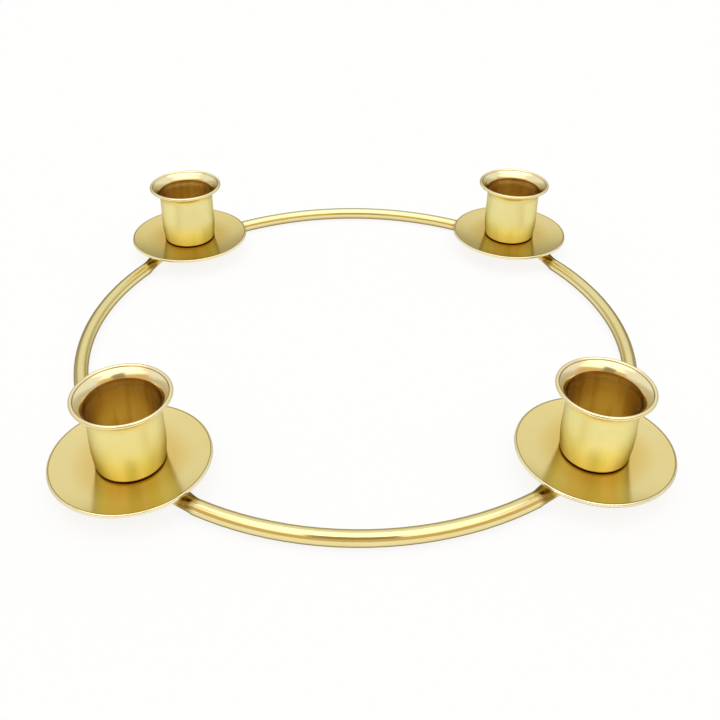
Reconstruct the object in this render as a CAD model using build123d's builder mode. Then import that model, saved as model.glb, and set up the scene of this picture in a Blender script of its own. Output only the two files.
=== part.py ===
from build123d import *
import os
from math import atan, cos, degrees, pi, radians, sin

# Advent candle holder: one ring of round tube, pressed flat in four places, carries four drip pans
# and four candle cups. One screw through each cup, pan, spring washer and pressed flat holds that
# stack together, with its nut hidden within the height of the tube.
# Millimetres, +Z up, front towards -Y. The origin is the ring's centre on the table.

# Ring, its diameter measured on the centre line of the tube
ring_diameter = 220.0
tube_diameter = 5.5
tube_wall = 0.8
press_gap = 0.2
press_length = 42.0
press_runout = 8.0

# Drip pans, their diameter taken before the edge is rounded, and the rise from the flat seat to the edge
pan_diameter = 54.0
pan_rise = 1.75
pan_thickness = 1.3
pan_edge_radius = 0.45

# Candle cups, with heights measured from the pan's seat and the bore measured inside the neck
bore_diameter = 22.8
cup_wall = 0.7
cup_height = 27.6
foot_diameter = 22.8
foot_bend_radius = 0.7
belly_diameter = 24.5
belly_height = 10.0
neck_length = 3.6
flare_height = 6.8
rim_diameter = 32.6
lip_diameter = 1.4

# Fasteners
screw_diameter = 3.0
screw_hole_clearance = 0.2
screw_head_diameter = 5.6
screw_head_height = 1.8
screw_head_radius = 0.9
screw_slot_width = 0.8
screw_slot_depth = 0.9
screw_end_length = 0.3
screw_end_chamfer = 0.3
washer_diameter = 7.0
washer_thickness = 0.6
washer_slit = 0.6
nut_across_flats = 5.5
nut_thickness = 2.4
nut_chamfer = 0.3
thread_clearance = 0.05

# Holders in the order they stand round the ring, with angles in degrees from +X
holder_places = ["back_right", "back_left", "front_left", "front_right"]
first_holder_angle = 45
holder_step = 360 / len(holder_places)

# Sizes that follow from the ones above. Pressing keeps the length round the tube's section.
ring_radius = ring_diameter / 2
tube_radius = tube_diameter / 2
press_thickness = 2 * tube_wall + press_gap
press_straight = pi * (tube_diameter - press_thickness) / 2
press_middle = tube_diameter - press_thickness / 2
press_end_angle = degrees(press_length / 2 / ring_radius)
round_start_angle = degrees((press_length / 2 + press_runout) / ring_radius)
screw_hole_radius = screw_diameter / 2 + screw_hole_clearance
foot_outer_bend = foot_bend_radius + cup_wall
seat_radius = foot_diameter / 2 - foot_outer_bend

# Heights of the faces in one stack, from the bottom up
nut_top = tube_diameter - press_thickness
nut_bottom = nut_top - nut_thickness
screw_bottom = nut_bottom - screw_end_length
pan_bottom = tube_diameter + washer_thickness
pan_top = pan_bottom + pan_thickness
cup_floor = pan_top + cup_wall


def outward(angle):
    """Direction from the ring's axis towards this angle."""
    return Vector(cos(radians(angle)), sin(radians(angle)), 0)


def level_plane(angle, height):
    """Level plane on the tube's centre line at this angle and height, with x pointing out of the ring."""
    return Plane(outward(angle) * ring_radius + Vector(0, 0, height), outward(angle), (0, 0, 1))


def upright_plane(angle, height):
    """Plane square to the tube at this angle, with x pointing out of the ring and y up from this height."""
    return Plane(outward(angle) * ring_radius + Vector(0, 0, height), outward(angle), outward(angle - 90))


def holder_axis(angle):
    """Upright axis of the holder at this angle."""
    return Axis(outward(angle) * ring_radius, (0, 0, 1))


def round_section(angle, diameter):
    """Round tube section at this angle, as four quarter arcs from the top one on."""
    with BuildSketch(upright_plane(angle, 0)) as section:
        with BuildLine():
            for start_angle in (45, 135, 225, 315):
                CenterArc((0, tube_radius), diameter / 2, start_angle, 90)
        make_face()
    return section.sketch


def pressed_section(angle, thickness):
    """Section of the tube pressed flat at this angle: straight top and bottom with half-round edges."""
    end = press_straight / 2
    top = press_middle + thickness / 2
    bottom = press_middle - thickness / 2
    with BuildSketch(upright_plane(angle, 0)) as section:
        with BuildLine():
            Line((end, top), (-end, top))
            CenterArc((-end, press_middle), thickness / 2, 90, 180)
            Line((-end, bottom), (end, bottom))
            CenterArc((end, press_middle), thickness / 2, 270, 180)
        make_face()
    return section.sketch


def make_stretch(diameter, thickness):
    """One holder's share of the ring, at angle 0: pressed in the middle and round towards both ends."""
    round_arc = holder_step / 2 - round_start_angle
    runout_arc = round_start_angle - press_end_angle
    with BuildPart() as stretch:
        revolve(pressed_section(-press_end_angle, thickness), Axis.Z, 2 * press_end_angle)
        for start_angle in (round_start_angle, -holder_step / 2):
            revolve(round_section(start_angle, diameter), Axis.Z, round_arc)
        for side in (-1, 1):
            pressed_end = pressed_section(side * press_end_angle, thickness)
            round_end = round_section(side * round_start_angle, diameter)
            with BuildLine() as runout:
                CenterArc((0, 0, tube_radius), ring_radius, side * press_end_angle, side * runout_arc)
            sweep([pressed_end, round_end], path=runout.line, multisection=True)
    return stretch.part


def make_ring():
    """Closed ring of hollow tube with a screw hole through each pressed flat."""
    outside = make_stretch(tube_diameter, press_thickness)
    inside = make_stretch(tube_diameter - 2 * tube_wall, press_gap)
    with BuildPart() as ring:
        with PolarLocations(0, len(holder_places), first_holder_angle):
            add(outside)
        with PolarLocations(0, len(holder_places), first_holder_angle):
            add(inside, mode=Mode.SUBTRACT)
        with Locations(Plane.XY.offset(tube_diameter)):
            with PolarLocations(ring_radius, len(holder_places), first_holder_angle):
                Hole(screw_hole_radius, tube_diameter)
    return ring.part


def make_pan(angle):
    """Shallow drip pan: a flat seat with a screw hole, then one arc rising to the rounded edge."""
    reach = pan_diameter / 2 - seat_radius
    turn = 2 * atan(pan_rise / reach)
    arc_radius = reach / sin(turn)
    with BuildPart() as pan:
        with BuildSketch(upright_plane(angle, pan_bottom)) as section:
            with BuildLine():
                Line((screw_hole_radius, 0), (seat_radius, 0))
                under = JernArc((seat_radius, 0), (1, 0), arc_radius, degrees(turn))
                over = JernArc((seat_radius, pan_thickness), (1, 0), arc_radius - pan_thickness, degrees(turn))
                Line(under @ 1, over @ 1)
                Line((seat_radius, pan_thickness), (screw_hole_radius, pan_thickness))
                Line((screw_hole_radius, pan_thickness), (screw_hole_radius, 0))
            make_face()
            fillet(section.vertices().sort_by(Axis.X)[-2:], pan_edge_radius)
        revolve(axis=holder_axis(angle))
    return pan.part


def make_cup(angle):
    """Spun candle cup: flat floor, barrel-shaped body, straight neck, flared mouth and rolled lip."""
    bore_radius = bore_diameter / 2
    neck_radius = bore_radius + cup_wall
    foot_radius = foot_diameter / 2
    belly_radius = belly_diameter / 2
    lip_radius = lip_diameter / 2
    # The body leans out from the foot and is upright at the belly and at the neck
    body_tangents = [(2 * (belly_radius - foot_radius), belly_height), (0, 1), (0, 1)]
    neck_end = cup_height - flare_height
    neck_start = neck_end - neck_length
    # The flare bends out of the neck in one arc and ends in the middle of the rolled lip
    flare_end = rim_diameter / 2 - lip_radius
    flare_reach = flare_end - (bore_radius + neck_radius) / 2
    flare_rise = flare_height - lip_radius
    flare_turn = 2 * atan(flare_reach / flare_rise)
    flare_radius = flare_rise / sin(flare_turn)
    with BuildPart() as cup:
        with BuildSketch(upright_plane(angle, pan_top)):
            with BuildLine():
                Line((screw_hole_radius, 0), (foot_radius, 0))
                Spline(
                    (foot_radius, 0),
                    (belly_radius, belly_height),
                    (neck_radius, neck_start),
                    tangents=body_tangents,
                )
                Line((neck_radius, neck_start), (neck_radius, neck_end))
                under_radius = flare_radius - cup_wall / 2
                over_radius = flare_radius + cup_wall / 2
                under = JernArc((neck_radius, neck_end), (0, 1), under_radius, -degrees(flare_turn))
                over = JernArc((bore_radius, neck_end), (0, 1), over_radius, -degrees(flare_turn))
                Line(under @ 1, over @ 1)
                Line((bore_radius, neck_end), (bore_radius, neck_start))
                Spline(
                    (foot_radius - cup_wall, cup_wall),
                    (belly_radius - cup_wall, belly_height),
                    (bore_radius, neck_start),
                    tangents=body_tangents,
                )
                Line((foot_radius - cup_wall, cup_wall), (screw_hole_radius, cup_wall))
                Line((screw_hole_radius, cup_wall), (screw_hole_radius, 0))
            make_face()
            with Locations((flare_end, cup_height - lip_radius)):
                Circle(lip_radius)
        revolve(axis=holder_axis(angle))
        foot_edge = cup.faces().sort_by(Axis.Z)[0].edges().sort_by(SortBy.RADIUS)[-1]
        fillet(foot_edge, foot_outer_bend)
        floor_face = cup.faces().filter_by(GeomType.PLANE).sort_by(Axis.Z)[-1]
        fillet(floor_face.edges().sort_by(SortBy.RADIUS)[-1], foot_bend_radius)
    return cup.part


def make_screw(angle):
    """Slotted pan-head screw from the cup's floor down through the nut."""
    with BuildPart() as screw:
        with BuildSketch(level_plane(angle, cup_floor)):
            Circle(screw_head_diameter / 2)
        extrude(amount=screw_head_height)
        fillet(screw.faces().sort_by(Axis.Z)[-1].edges(), screw_head_radius)
        with BuildSketch(level_plane(angle, cup_floor + screw_head_height)):
            Rectangle(screw_head_diameter, screw_slot_width)
        extrude(amount=-screw_slot_depth, mode=Mode.SUBTRACT)
        with BuildSketch(level_plane(angle, screw_bottom)):
            Circle(screw_diameter / 2)
        extrude(amount=cup_floor - screw_bottom)
        chamfer(screw.faces().sort_by(Axis.Z)[0].edges(), screw_end_chamfer)
    return screw.part


def make_washer(angle):
    """Split spring washer, drawn flat, between the pressed tube and the pan."""
    with BuildPart() as washer:
        with BuildSketch(level_plane(angle, tube_diameter)):
            Circle(washer_diameter / 2)
            Circle(screw_hole_radius, mode=Mode.SUBTRACT)
            Rectangle(washer_diameter, washer_slit, align=(Align.MIN, Align.CENTER), mode=Mode.SUBTRACT)
        extrude(amount=washer_thickness)
    return washer.part


def make_nut(angle):
    """Hexagon nut with its corners turned down on both faces."""
    flat_radius = nut_across_flats / 2
    corner_radius = flat_radius / cos(radians(30))
    with BuildPart() as nut:
        with BuildSketch(level_plane(angle, nut_bottom)):
            RegularPolygon(corner_radius, 6)
            Circle(screw_diameter / 2 + thread_clearance, mode=Mode.SUBTRACT)
        extrude(amount=nut_thickness)
        with BuildSketch(upright_plane(angle, nut_bottom)):
            Polygon(
                (0, 0),
                (flat_radius, 0),
                (corner_radius, nut_chamfer),
                (corner_radius, nut_thickness - nut_chamfer),
                (flat_radius, nut_thickness),
                (0, nut_thickness),
                align=None,
            )
        revolve(axis=holder_axis(angle), mode=Mode.INTERSECT)
    return nut.part


def save(part, label):
    """Name the piece and write it to its own file."""
    part.label = label
    export_step(part, f"parts/{label}.step")


os.makedirs("parts", exist_ok=True)
save(make_ring(), "ring_tube")
for number, place in enumerate(holder_places):
    angle = first_holder_angle + number * holder_step
    save(make_pan(angle), f"drip_pan_{place}")
    save(make_cup(angle), f"candle_cup_{place}")
    save(make_screw(angle), f"screw_{place}")
    save(make_washer(angle), f"spring_washer_{place}")
    save(make_nut(angle), f"nut_{place}")
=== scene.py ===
from math import radians

import bpy
from mathutils import Matrix, Vector

# Advent candle holder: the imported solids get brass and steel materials, a white table, a soft studio
# light and a camera at the photograph's angle. Metres, +Z up, front towards -Y.

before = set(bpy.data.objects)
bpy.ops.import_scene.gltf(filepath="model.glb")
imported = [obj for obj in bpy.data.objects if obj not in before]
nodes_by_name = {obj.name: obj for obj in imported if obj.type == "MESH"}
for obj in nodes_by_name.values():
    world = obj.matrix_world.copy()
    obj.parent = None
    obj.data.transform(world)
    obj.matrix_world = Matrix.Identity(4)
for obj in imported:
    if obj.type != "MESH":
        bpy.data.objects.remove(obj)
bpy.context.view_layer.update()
scene = bpy.context.scene

# Places of the four holders, as in the names of their pieces
PLACES = ("back_right", "back_left", "front_left", "front_right")

# Bounces that light needs between the cups, the pans and the ring
LIGHT_BOUNCES = 16

# Camera, found by fitting the outlines of the ring, pans, rims and cup feet in the photograph: place, angles
# in degrees, the angle at which it looks level, lens and sensor in millimetres, vertical shift as a share of
# the picture, and the nearest distance it sees
CAMERA_PLACE = Vector((-0.0133, -0.2991, 0.2105))
CAMERA_YAW = 2.76
CAMERA_PITCH = 30.60
CAMERA_ROLL = -0.83
LEVEL_ANGLE = 90
CAMERA_LENS = 43.8
SENSOR_WIDTH = 36.0
CAMERA_SHIFT_SHARE = -0.125
NEAREST_SEEN = 0.01

# Ring on its centre line, and distance of the holders' axes from the ring's axis along X and Y
RING_RADIUS = 0.110
HOLDER_REACH = RING_RADIUS / 2 ** 0.5

# Full share or strength
FULL = 1.0

# Middle setting of the measure of how far a surface turns away from the eye
FACING_BLEND = 0.5

# Metal colours, as linear reflectance, and the tint of brass at a flat angle
RING_BRASS = ((0.86, 0.75, 0.37, 1.0), (0.85, 0.73, 0.34, 1.0))
PAN_BRASS = ((0.84, 0.71, 0.32, 1.0), (0.83, 0.69, 0.28, 1.0))
CUP_BRASS = ((0.93, 0.86, 0.41, 1.0), (0.92, 0.84, 0.38, 1.0))
BRASS_EDGE = (0.45, 0.42, 0.35, 1.0)
ZINC = (0.60, 0.61, 0.63, 1.0)
ZINC_WARM = (0.58, 0.57, 0.53, 1.0)

# Finish of each metal: lowest and highest roughness, waves of the brush lines per metre along X, Y and Z, on
# the ring along the tube, outwards and up, and the depth of the lines
RING_ROUGHNESS = (0.10, 0.17)
RING_BRUSH = (30, 2500, 2500)
RING_GRAIN_DEPTH = 0.000001
PAN_ROUGHNESS = (0.14, 0.21)
PAN_BRUSH = (60, 2600, 2600)
PAN_GRAIN_DEPTH = 0.000001
CUP_ROUGHNESS = (0.40, 0.46)
CUP_BRUSH = (40, 40, 2200)
CUP_GRAIN_DEPTH = 0.0000006
SCREW_ROUGHNESS = (0.20, 0.32)
SCREW_BRUSH = (1500, 1500, 1500)
ZINC_ROUGHNESS = (0.28, 0.42)
ZINC_BRUSH = (1800, 1800, 1800)
FASTENER_GRAIN_DEPTH = 0.000003

# Noise in all metals: fine brush lines and soft clouds, the range of the clouds in which one colour turns
# into the other, the clouds' share in the roughness, and the range of noise that the roughness is taken from
LINE_SCALE = 1.0
LINE_DETAIL = 4.0
LINE_ROUGHNESS = 0.65
CLOUD_SCALE = 45.0
CLOUD_DETAIL = 3.0
CLOUD_ROUGHNESS = 0.55
COLOUR_RANGE = (0.35, 0.7)
CLOUD_SHARE = 0.45
ROUGHNESS_RANGE = (0.3, 0.7)

# Cups: the pale brim and the tone of the wall under it, with the heights between which they begin
BRIM_BRASS = (0.92, 0.80, 0.47, 1.0)
BRIM_HEIGHTS = (0.0316, 0.0318)
THROAT_BRASS = (0.86, 0.78, 0.43, 1.0)
THROAT_HEIGHTS = (0.0280, 0.0305)

# Inside of the cups: a point lies inside where its normal points to the holder's axis. Painted shade on the
# inside turns from light to heavy upwards between two heights.
INSIDE_FACINGS = (0.001, -0.001)
INSIDE_SHADE_HEIGHTS = (0.0288, 0.0312)
LIGHT_INSIDE_SHADE = (0.94, 0.82, 0.72, 1.0)
HEAVY_INSIDE_SHADE = (0.36, 0.19, 0.04, 1.0)

# Roughness of the cups' inside and brim, as a share of the roughness outside
CUP_INSIDE_SHARE = 0.9
CUP_BRIM_SHARE = 0.45

# Faint upright streaks, inside in the painted shade and outside low on the wall: how fast the pattern
# changes with the place along X, Y and Z, per metre, its waves across a cup's radius, the range of the noise
# in which a streak grows, and the heights between which the streaks on the wall begin, from the top
INSIDE_SHADE_STREAK_TINT = (0.86, 0.79, 0.66, 1.0)
WALL_STREAK_TINT = (0.92, 0.95, 0.74, 1.0)
STREAK_DRIFT = (3.0, 3.0, 8.0)
STREAK_WAVES = 2.6
STREAK_DETAIL = 1.5
STREAK_ROUGHNESS = 0.5
STREAK_RANGE = (0.46, 0.64)
WALL_STREAK_HEIGHTS = (0.0200, 0.0120)

# Painted shade: the lower part of a cup's wall is darker at its sides, seen at a flat angle
CUP_SIDE_SHADE = (0.66, 0.55, 0.32, 1.0)
CUP_SIDE_FACINGS = (0.45, 0.95)
CUP_SIDE_HEIGHTS = (0.0250, 0.0120)

# Painted shade, dark where the cup's foot meets the pan, on the cup by height and on the pan by the distance
# from the holder's axis
CONTACT_SHADE = (0.30, 0.16, 0.08, 1.0)
FOOT_SHADE_HEIGHTS = (0.0078, 0.0074)
PAN_FOOT_SHADE_RADII = (0.0122, 0.0113)

# Pans: a painted warm reflection of the cup, stronger towards it, and a thin line of painted shade near the
# edge, both on the top side alone, where the normal points up, and a painted highlight on the edge outside
# the line
PAN_TOP_SLOPES = (0.0, 0.3)
PAN_CUP_REFLECTION_TINT = (0.94, 0.82, 0.61, 1.0)
PAN_CUP_REFLECTION_RADII = (0.0220, 0.0125)
PAN_SHADE_LINE_TINT = (0.48, 0.43, 0.30, 1.0)
PAN_SHADE_LINE_RADII = (0.0259, 0.0262)
PAN_EDGE_HIGHLIGHT = (0.94, 0.85, 0.58, 1.0)
PAN_EDGE_HIGHLIGHT_RADII = (0.0263, 0.0266)

# Painted shade on the ring: darker on its sides, seen at a flat angle, near the table, and in a band at the
# edge of each pan, which fades outwards and inwards with the distance from the holder's axis
RING_SIDE_SHADE = (0.50, 0.47, 0.40, 1.0)
RING_SIDE_FACINGS = (0.42, 0.82)
RING_TABLE_SHADE = (0.60, 0.54, 0.42, 1.0)
RING_TABLE_SHADE_HEIGHTS = (0.0027, 0.0014)
RING_PAN_SHADE = (0.42, 0.34, 0.22, 1.0)
RING_PAN_OUTER_RADII = (0.0310, 0.0275)
RING_PAN_INNER_RADII = (0.0235, 0.0255)

# Studio light, as radiance seen in the metal
LOWER_LIGHT = (0.60, 0.58, 0.54, 1.0)
UPPER_LIGHT = (0.92, 0.92, 0.92, 1.0)
FRONT_LOW_LIGHT = (0.70, 0.51, 0.28, 1.0)
FRONT_LIGHT = (1.4, 1.39, 1.34, 1.0)
TOP_LIGHT = (1.7, 1.7, 1.7, 1.0)
CARD_LIGHT = (0.34, 0.27, 0.17, 1.0)
BACKDROP = (1.0, 1.0, 1.0, 1.0)

# Where one light turns into the next, by the Z or Y of the direction
UPPER_RISES = (0.30, 0.52)
FRONT_RISES = (0.58, 0.68)
FRONT_DEPTHS = (-0.10, -0.40)
TOP_RISES = (0.85, 0.90)

# Dark card round the camera
CARD_SIZE = 0.16

# Table: its white, its own colour, and the share of the white that the camera and the metal see
TABLE_SIZE = 8.0
TABLE_WHITE = 1.0
TABLE_COLOUR = (0.93, 0.93, 0.93, 1.0)
TABLE_GLOW_SHARE = 0.85
TABLE_MIRROR_SHARE = 0.8


class Nodes:
    """Short way to add and join the nodes of one node tree."""

    def __init__(self, tree):
        self.tree = tree
        tree.nodes.clear()

    def add(self, kind, inputs=None, **settings):
        node = self.tree.nodes.new(kind)
        for name, value in settings.items():
            setattr(node, name, value)
        for key, value in (inputs or {}).items():
            self.feed(node.inputs[key], value)
        return node

    def feed(self, socket, value):
        if isinstance(value, bpy.types.NodeSocket):
            self.tree.links.new(value, socket)
        else:
            socket.default_value = value

    def math(self, operation, first, second=0.0):
        return self.add("ShaderNodeMath", {0: first, 1: second}, operation=operation).outputs[0]

    def vector(self, operation, *inputs, output="Vector"):
        node = self.add("ShaderNodeVectorMath", dict(enumerate(inputs)), operation=operation)
        return node.outputs[output]

    def length(self, vector):
        return self.vector("LENGTH", vector, output="Value")

    def split(self, vector):
        return self.add("ShaderNodeSeparateXYZ", {0: vector}).outputs

    def join(self, *parts):
        return self.add("ShaderNodeCombineXYZ", dict(enumerate(parts))).outputs[0]

    def normal(self):
        return self.add("ShaderNodeNewGeometry").outputs["Normal"]

    def facing(self):
        return self.add("ShaderNodeLayerWeight", {"Blend": FACING_BLEND}).outputs["Facing"]

    def smooth(self, value, low, high, out_low=0.0, out_high=1.0):
        node = self.add(
            "ShaderNodeMapRange",
            {"Value": value, "From Min": low, "From Max": high, "To Min": out_low, "To Max": out_high},
            interpolation_type="SMOOTHSTEP",
        )
        return node.outputs[0]

    # The Mix node's sockets go by number: 2 and 3 take plain numbers and give output 0, 6 and 7 take colours
    # and give output 2
    def blend(self, share, first, second):
        node = self.add("ShaderNodeMix", {0: share, 2: first, 3: second}, data_type="FLOAT")
        return node.outputs[0]

    def blend_colour(self, share, first, second, mode="MIX"):
        node = self.add(
            "ShaderNodeMix", {0: share, 6: first, 7: second}, data_type="RGBA", blend_type=mode
        )
        return node.outputs[2]

    def tint(self, share, colour, tint):
        return self.blend_colour(share, colour, tint, mode="MULTIPLY")

    def noise(self, vector, scale, detail, roughness):
        node = self.add(
            "ShaderNodeTexNoise",
            {"Vector": vector, "Scale": scale, "Detail": detail, "Roughness": roughness},
        )
        return node.outputs["Fac"]


def new_material(name):
    material = bpy.data.materials.new(name)
    material.use_nodes = True
    return material, Nodes(material.node_tree)


def ring_coordinates(nodes, place):
    """Coordinates that follow the ring: metres along the tube, out from the axis, and up."""
    x, y, z = nodes.split(place)
    along = nodes.math("MULTIPLY", nodes.math("ARCTAN2", y, x), RING_RADIUS)
    return nodes.join(along, nodes.length(nodes.join(x, y)), z)


def from_holder(nodes, place):
    """Level vector from the nearest holder's axis to a point, and the point's height."""
    x, y, height = nodes.split(place)
    aside = []
    for value in (x, y):
        axis_place = nodes.math("MULTIPLY", nodes.math("SIGN", value), HOLDER_REACH)
        aside.append(nodes.math("SUBTRACT", value, axis_place))
    return nodes.join(*aside), height


def cup_streaks(nodes, place, outward):
    """Share of the upright streaks at a point of a cup."""
    streak_place = nodes.vector("MULTIPLY_ADD", place, STREAK_DRIFT, nodes.vector("NORMALIZE", outward))
    waves = nodes.noise(streak_place, STREAK_WAVES, STREAK_DETAIL, STREAK_ROUGHNESS)
    return nodes.smooth(waves, *STREAK_RANGE)


def cup_finish(nodes, place, colour, roughness):
    """Satin outside with painted shade inside, on the low sides and at the foot, faint streaks and a
    polished brim.
    """
    outward, height = from_holder(nodes, place)
    outward_facing = nodes.vector("DOT_PRODUCT", outward, nodes.normal(), output="Value")
    inside = nodes.smooth(outward_facing, *INSIDE_FACINGS)
    brim = nodes.smooth(height, *BRIM_HEIGHTS)
    streaks = cup_streaks(nodes, place, outward)

    # Painted shade inside the cup, heavier upwards, with faint streaks
    inside_shade = nodes.blend_colour(nodes.smooth(height, *INSIDE_SHADE_HEIGHTS), LIGHT_INSIDE_SHADE, HEAVY_INSIDE_SHADE)
    inside_shade = nodes.tint(streaks, inside_shade, INSIDE_SHADE_STREAK_TINT)
    inside_colour = nodes.tint(FULL, colour, inside_shade)

    outside_colour = nodes.blend_colour(nodes.smooth(height, *THROAT_HEIGHTS), colour, THROAT_BRASS)
    wall_streaks = nodes.math("MULTIPLY", streaks, nodes.smooth(height, *WALL_STREAK_HEIGHTS))
    outside_colour = nodes.tint(wall_streaks, outside_colour, WALL_STREAK_TINT)

    colour = nodes.blend_colour(inside, outside_colour, inside_colour)
    colour = nodes.blend_colour(brim, colour, BRIM_BRASS)
    # Painted shade on the low sides of the wall, seen at a flat angle
    turned = nodes.smooth(nodes.facing(), *CUP_SIDE_FACINGS)
    low_side_shade = nodes.math("MULTIPLY", turned, nodes.smooth(height, *CUP_SIDE_HEIGHTS))
    colour = nodes.tint(low_side_shade, colour, CUP_SIDE_SHADE)
    # Painted shade where the foot meets the pan
    colour = nodes.tint(nodes.smooth(height, *FOOT_SHADE_HEIGHTS), colour, CONTACT_SHADE)

    roughness = nodes.math("MULTIPLY", roughness, nodes.blend(inside, FULL, CUP_INSIDE_SHARE))
    roughness = nodes.math("MULTIPLY", roughness, nodes.blend(brim, FULL, CUP_BRIM_SHARE))
    return colour, roughness


def pan_finish(nodes, place, colour, roughness):
    """Top with a painted warm reflection of the cup, painted shade round its foot, a thin line of painted
    shade and a painted highlight on the edge.
    """
    outward, _ = from_holder(nodes, place)
    distance = nodes.length(outward)
    _, _, upward = nodes.split(nodes.normal())
    top_side = nodes.smooth(upward, *PAN_TOP_SLOPES)
    # Painted light on the top: a warm reflection of the cup, shade round its foot and a thin shade line
    top_tints = (
        (PAN_CUP_REFLECTION_TINT, PAN_CUP_REFLECTION_RADII),
        (CONTACT_SHADE, PAN_FOOT_SHADE_RADII),
        (PAN_SHADE_LINE_TINT, PAN_SHADE_LINE_RADII),
    )
    for tint, radii in top_tints:
        share = nodes.math("MULTIPLY", top_side, nodes.smooth(distance, *radii))
        colour = nodes.tint(share, colour, tint)
    # Painted highlight on the pan's edge
    edge = nodes.smooth(distance, *PAN_EDGE_HIGHLIGHT_RADII)
    return nodes.blend_colour(edge, colour, PAN_EDGE_HIGHLIGHT), roughness


def ring_finish(nodes, place, colour, roughness):
    """Painted shade where the tube turns away, towards the table and at the edges of the pans."""
    outward, height = from_holder(nodes, place)
    distance = nodes.length(outward)
    # Painted shade on the sides seen at a flat angle
    colour = nodes.tint(nodes.smooth(nodes.facing(), *RING_SIDE_FACINGS), colour, RING_SIDE_SHADE)
    # Painted shade near the table
    colour = nodes.tint(nodes.smooth(height, *RING_TABLE_SHADE_HEIGHTS), colour, RING_TABLE_SHADE)
    # Painted shade in a band at the edge of each pan
    outer = nodes.smooth(distance, *RING_PAN_OUTER_RADII)
    inner = nodes.smooth(distance, *RING_PAN_INNER_RADII)
    return nodes.tint(nodes.math("MULTIPLY", outer, inner), colour, RING_PAN_SHADE), roughness


def metal(name, colours, edge, roughness_ends, brush, grain_depth, follows_ring=False, finish=None):
    """Metal with fine brush lines, and with the finish of its own piece on top."""
    material, nodes = new_material(name)
    place = nodes.add("ShaderNodeTexCoord").outputs["Object"]
    grain_place = ring_coordinates(nodes, place) if follows_ring else place
    line_place = nodes.vector("MULTIPLY", grain_place, brush)
    lines = nodes.noise(line_place, LINE_SCALE, LINE_DETAIL, LINE_ROUGHNESS)
    cloud = nodes.noise(grain_place, CLOUD_SCALE, CLOUD_DETAIL, CLOUD_ROUGHNESS)
    colour = nodes.blend_colour(nodes.smooth(cloud, *COLOUR_RANGE), *colours)
    roughness = nodes.smooth(nodes.blend(CLOUD_SHARE, lines, cloud), *ROUGHNESS_RANGE, *roughness_ends)
    if finish:
        colour, roughness = finish(nodes, place, colour, roughness)
    bump = nodes.add("ShaderNodeBump", {"Height": lines, "Strength": FULL, "Distance": grain_depth})
    shader = nodes.add(
        "ShaderNodeBsdfPrincipled",
        {
            "Base Color": colour,
            "Metallic": FULL,
            "Roughness": roughness,
            "Specular Tint": edge,
            "Normal": bump.outputs[0],
        },
    )
    nodes.add("ShaderNodeOutputMaterial", {"Surface": shader.outputs[0]})
    return material


def table_material():
    """White to the camera and in the metal, with a share of real shading for the shadows."""
    material, nodes = new_material("white_table")
    path = nodes.add("ShaderNodeLightPath")
    shaded = nodes.add("ShaderNodeBsdfDiffuse", {"Color": TABLE_COLOUR})
    white = nodes.add("ShaderNodeEmission", {"Strength": TABLE_WHITE})
    seen = nodes.math("MULTIPLY", path.outputs["Is Camera Ray"], TABLE_GLOW_SHARE)
    mirrored = nodes.math("MULTIPLY", path.outputs["Is Glossy Ray"], TABLE_MIRROR_SHARE)
    share = nodes.math("MAXIMUM", seen, mirrored)
    surface = nodes.add("ShaderNodeMixShader", {0: share, 1: shaded.outputs[0], 2: white.outputs[0]})
    nodes.add("ShaderNodeOutputMaterial", {"Surface": surface.outputs[0]})
    return material


def card_material():
    material, nodes = new_material("camera_card")
    glow = nodes.add("ShaderNodeEmission", {"Color": CARD_LIGHT})
    nodes.add("ShaderNodeOutputMaterial", {"Surface": glow.outputs[0]})
    return material


def light_studio():
    """Walls paler upwards, a front dim below and bright above, a bright ceiling and a white backdrop."""
    world = bpy.data.worlds.new("studio")
    scene.world = world
    world.use_nodes = True
    nodes = Nodes(world.node_tree)
    direction = nodes.add("ShaderNodeTexCoord").outputs["Generated"]
    _, y, z = nodes.split(direction)
    light = nodes.blend_colour(nodes.smooth(z, *UPPER_RISES), LOWER_LIGHT, UPPER_LIGHT)
    front_light = nodes.blend_colour(nodes.smooth(z, *FRONT_RISES), FRONT_LOW_LIGHT, FRONT_LIGHT)
    light = nodes.blend_colour(nodes.smooth(y, *FRONT_DEPTHS), light, front_light)
    light = nodes.blend_colour(nodes.smooth(z, *TOP_RISES), light, TOP_LIGHT)
    to_camera = nodes.add("ShaderNodeLightPath").outputs["Is Camera Ray"]
    seen = nodes.blend_colour(to_camera, light, BACKDROP)
    background = nodes.add("ShaderNodeBackground", {"Color": seen})
    nodes.add("ShaderNodeOutputWorld", {"Surface": background.outputs[0]})


def add_square(name, size, material):
    """Flat square in the middle of the scene, facing up."""
    mesh = bpy.data.meshes.new(name)
    half = size / 2
    corners = [(-half, -half, 0), (half, -half, 0), (half, half, 0), (-half, half, 0)]
    mesh.from_pydata(corners, [], [(0, 1, 2, 3)])
    mesh.materials.append(material)
    square = bpy.data.objects.new(name, mesh)
    scene.collection.objects.link(square)
    return square


def add_table():
    table = add_square("table", TABLE_SIZE, table_material())


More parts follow.
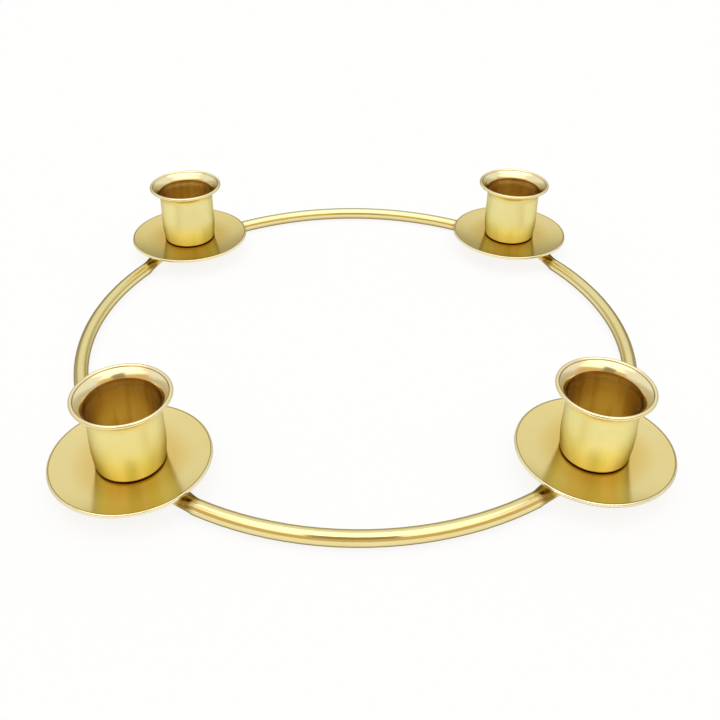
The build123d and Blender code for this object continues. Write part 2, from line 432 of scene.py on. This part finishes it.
def add_camera():
    data = bpy.data.cameras.new("camera")
    data.lens = CAMERA_LENS
    data.sensor_width = SENSOR_WIDTH
    data.shift_y = CAMERA_SHIFT_SHARE
    data.clip_start = NEAREST_SEEN
    camera = bpy.data.objects.new("camera", data)
    scene.collection.objects.link(camera)
    turn = Matrix.Rotation(radians(-CAMERA_YAW), 4, "Z")
    tip = Matrix.Rotation(radians(LEVEL_ANGLE - CAMERA_PITCH), 4, "X")
    roll = Matrix.Rotation(radians(-CAMERA_ROLL), 4, "Z")
    camera.matrix_world = Matrix.Translation(CAMERA_PLACE) @ turn @ tip @ roll
    scene.camera = camera


def add_camera_card():
    """Dark card round the camera, seen only as a reflection in the metal."""
    card = add_square("camera_card", CARD_SIZE, card_material())
    card.matrix_world = scene.camera.matrix_world
    card.visible_camera = False
    card.visible_diffuse = False
    card.visible_shadow = False


def paint(name, material):
    mesh = nodes_by_name[name].data
    mesh.materials.clear()
    mesh.materials.append(material)


# Materials of the pieces
ring_brass = metal(
    "ring_brass", RING_BRASS, BRASS_EDGE, RING_ROUGHNESS, RING_BRUSH, RING_GRAIN_DEPTH,
    follows_ring=True, finish=ring_finish,
)
pan_brass = metal(
    "pan_brass", PAN_BRASS, BRASS_EDGE, PAN_ROUGHNESS, PAN_BRUSH, PAN_GRAIN_DEPTH, finish=pan_finish
)
cup_brass = metal(
    "cup_brass", CUP_BRASS, BRASS_EDGE, CUP_ROUGHNESS, CUP_BRUSH, CUP_GRAIN_DEPTH, finish=cup_finish
)
screw_brass = metal(
    "screw_brass", CUP_BRASS, BRASS_EDGE, SCREW_ROUGHNESS, SCREW_BRUSH, FASTENER_GRAIN_DEPTH
)
zinc_steel = metal(
    "zinc_steel", (ZINC, ZINC_WARM), ZINC, ZINC_ROUGHNESS, ZINC_BRUSH, FASTENER_GRAIN_DEPTH
)

paint("ring_tube", ring_brass)
for place in PLACES:
    paint(f"drip_pan_{place}", pan_brass)
    paint(f"candle_cup_{place}", cup_brass)
    paint(f"screw_{place}", screw_brass)
    paint(f"spring_washer_{place}", zinc_steel)
    paint(f"nut_{place}", zinc_steel)

# Studio and camera
scene.view_settings.view_transform = "Standard"
scene.cycles.max_bounces = LIGHT_BOUNCES
scene.cycles.glossy_bounces = LIGHT_BOUNCES
light_studio()
add_table()
add_camera()
add_camera_card()
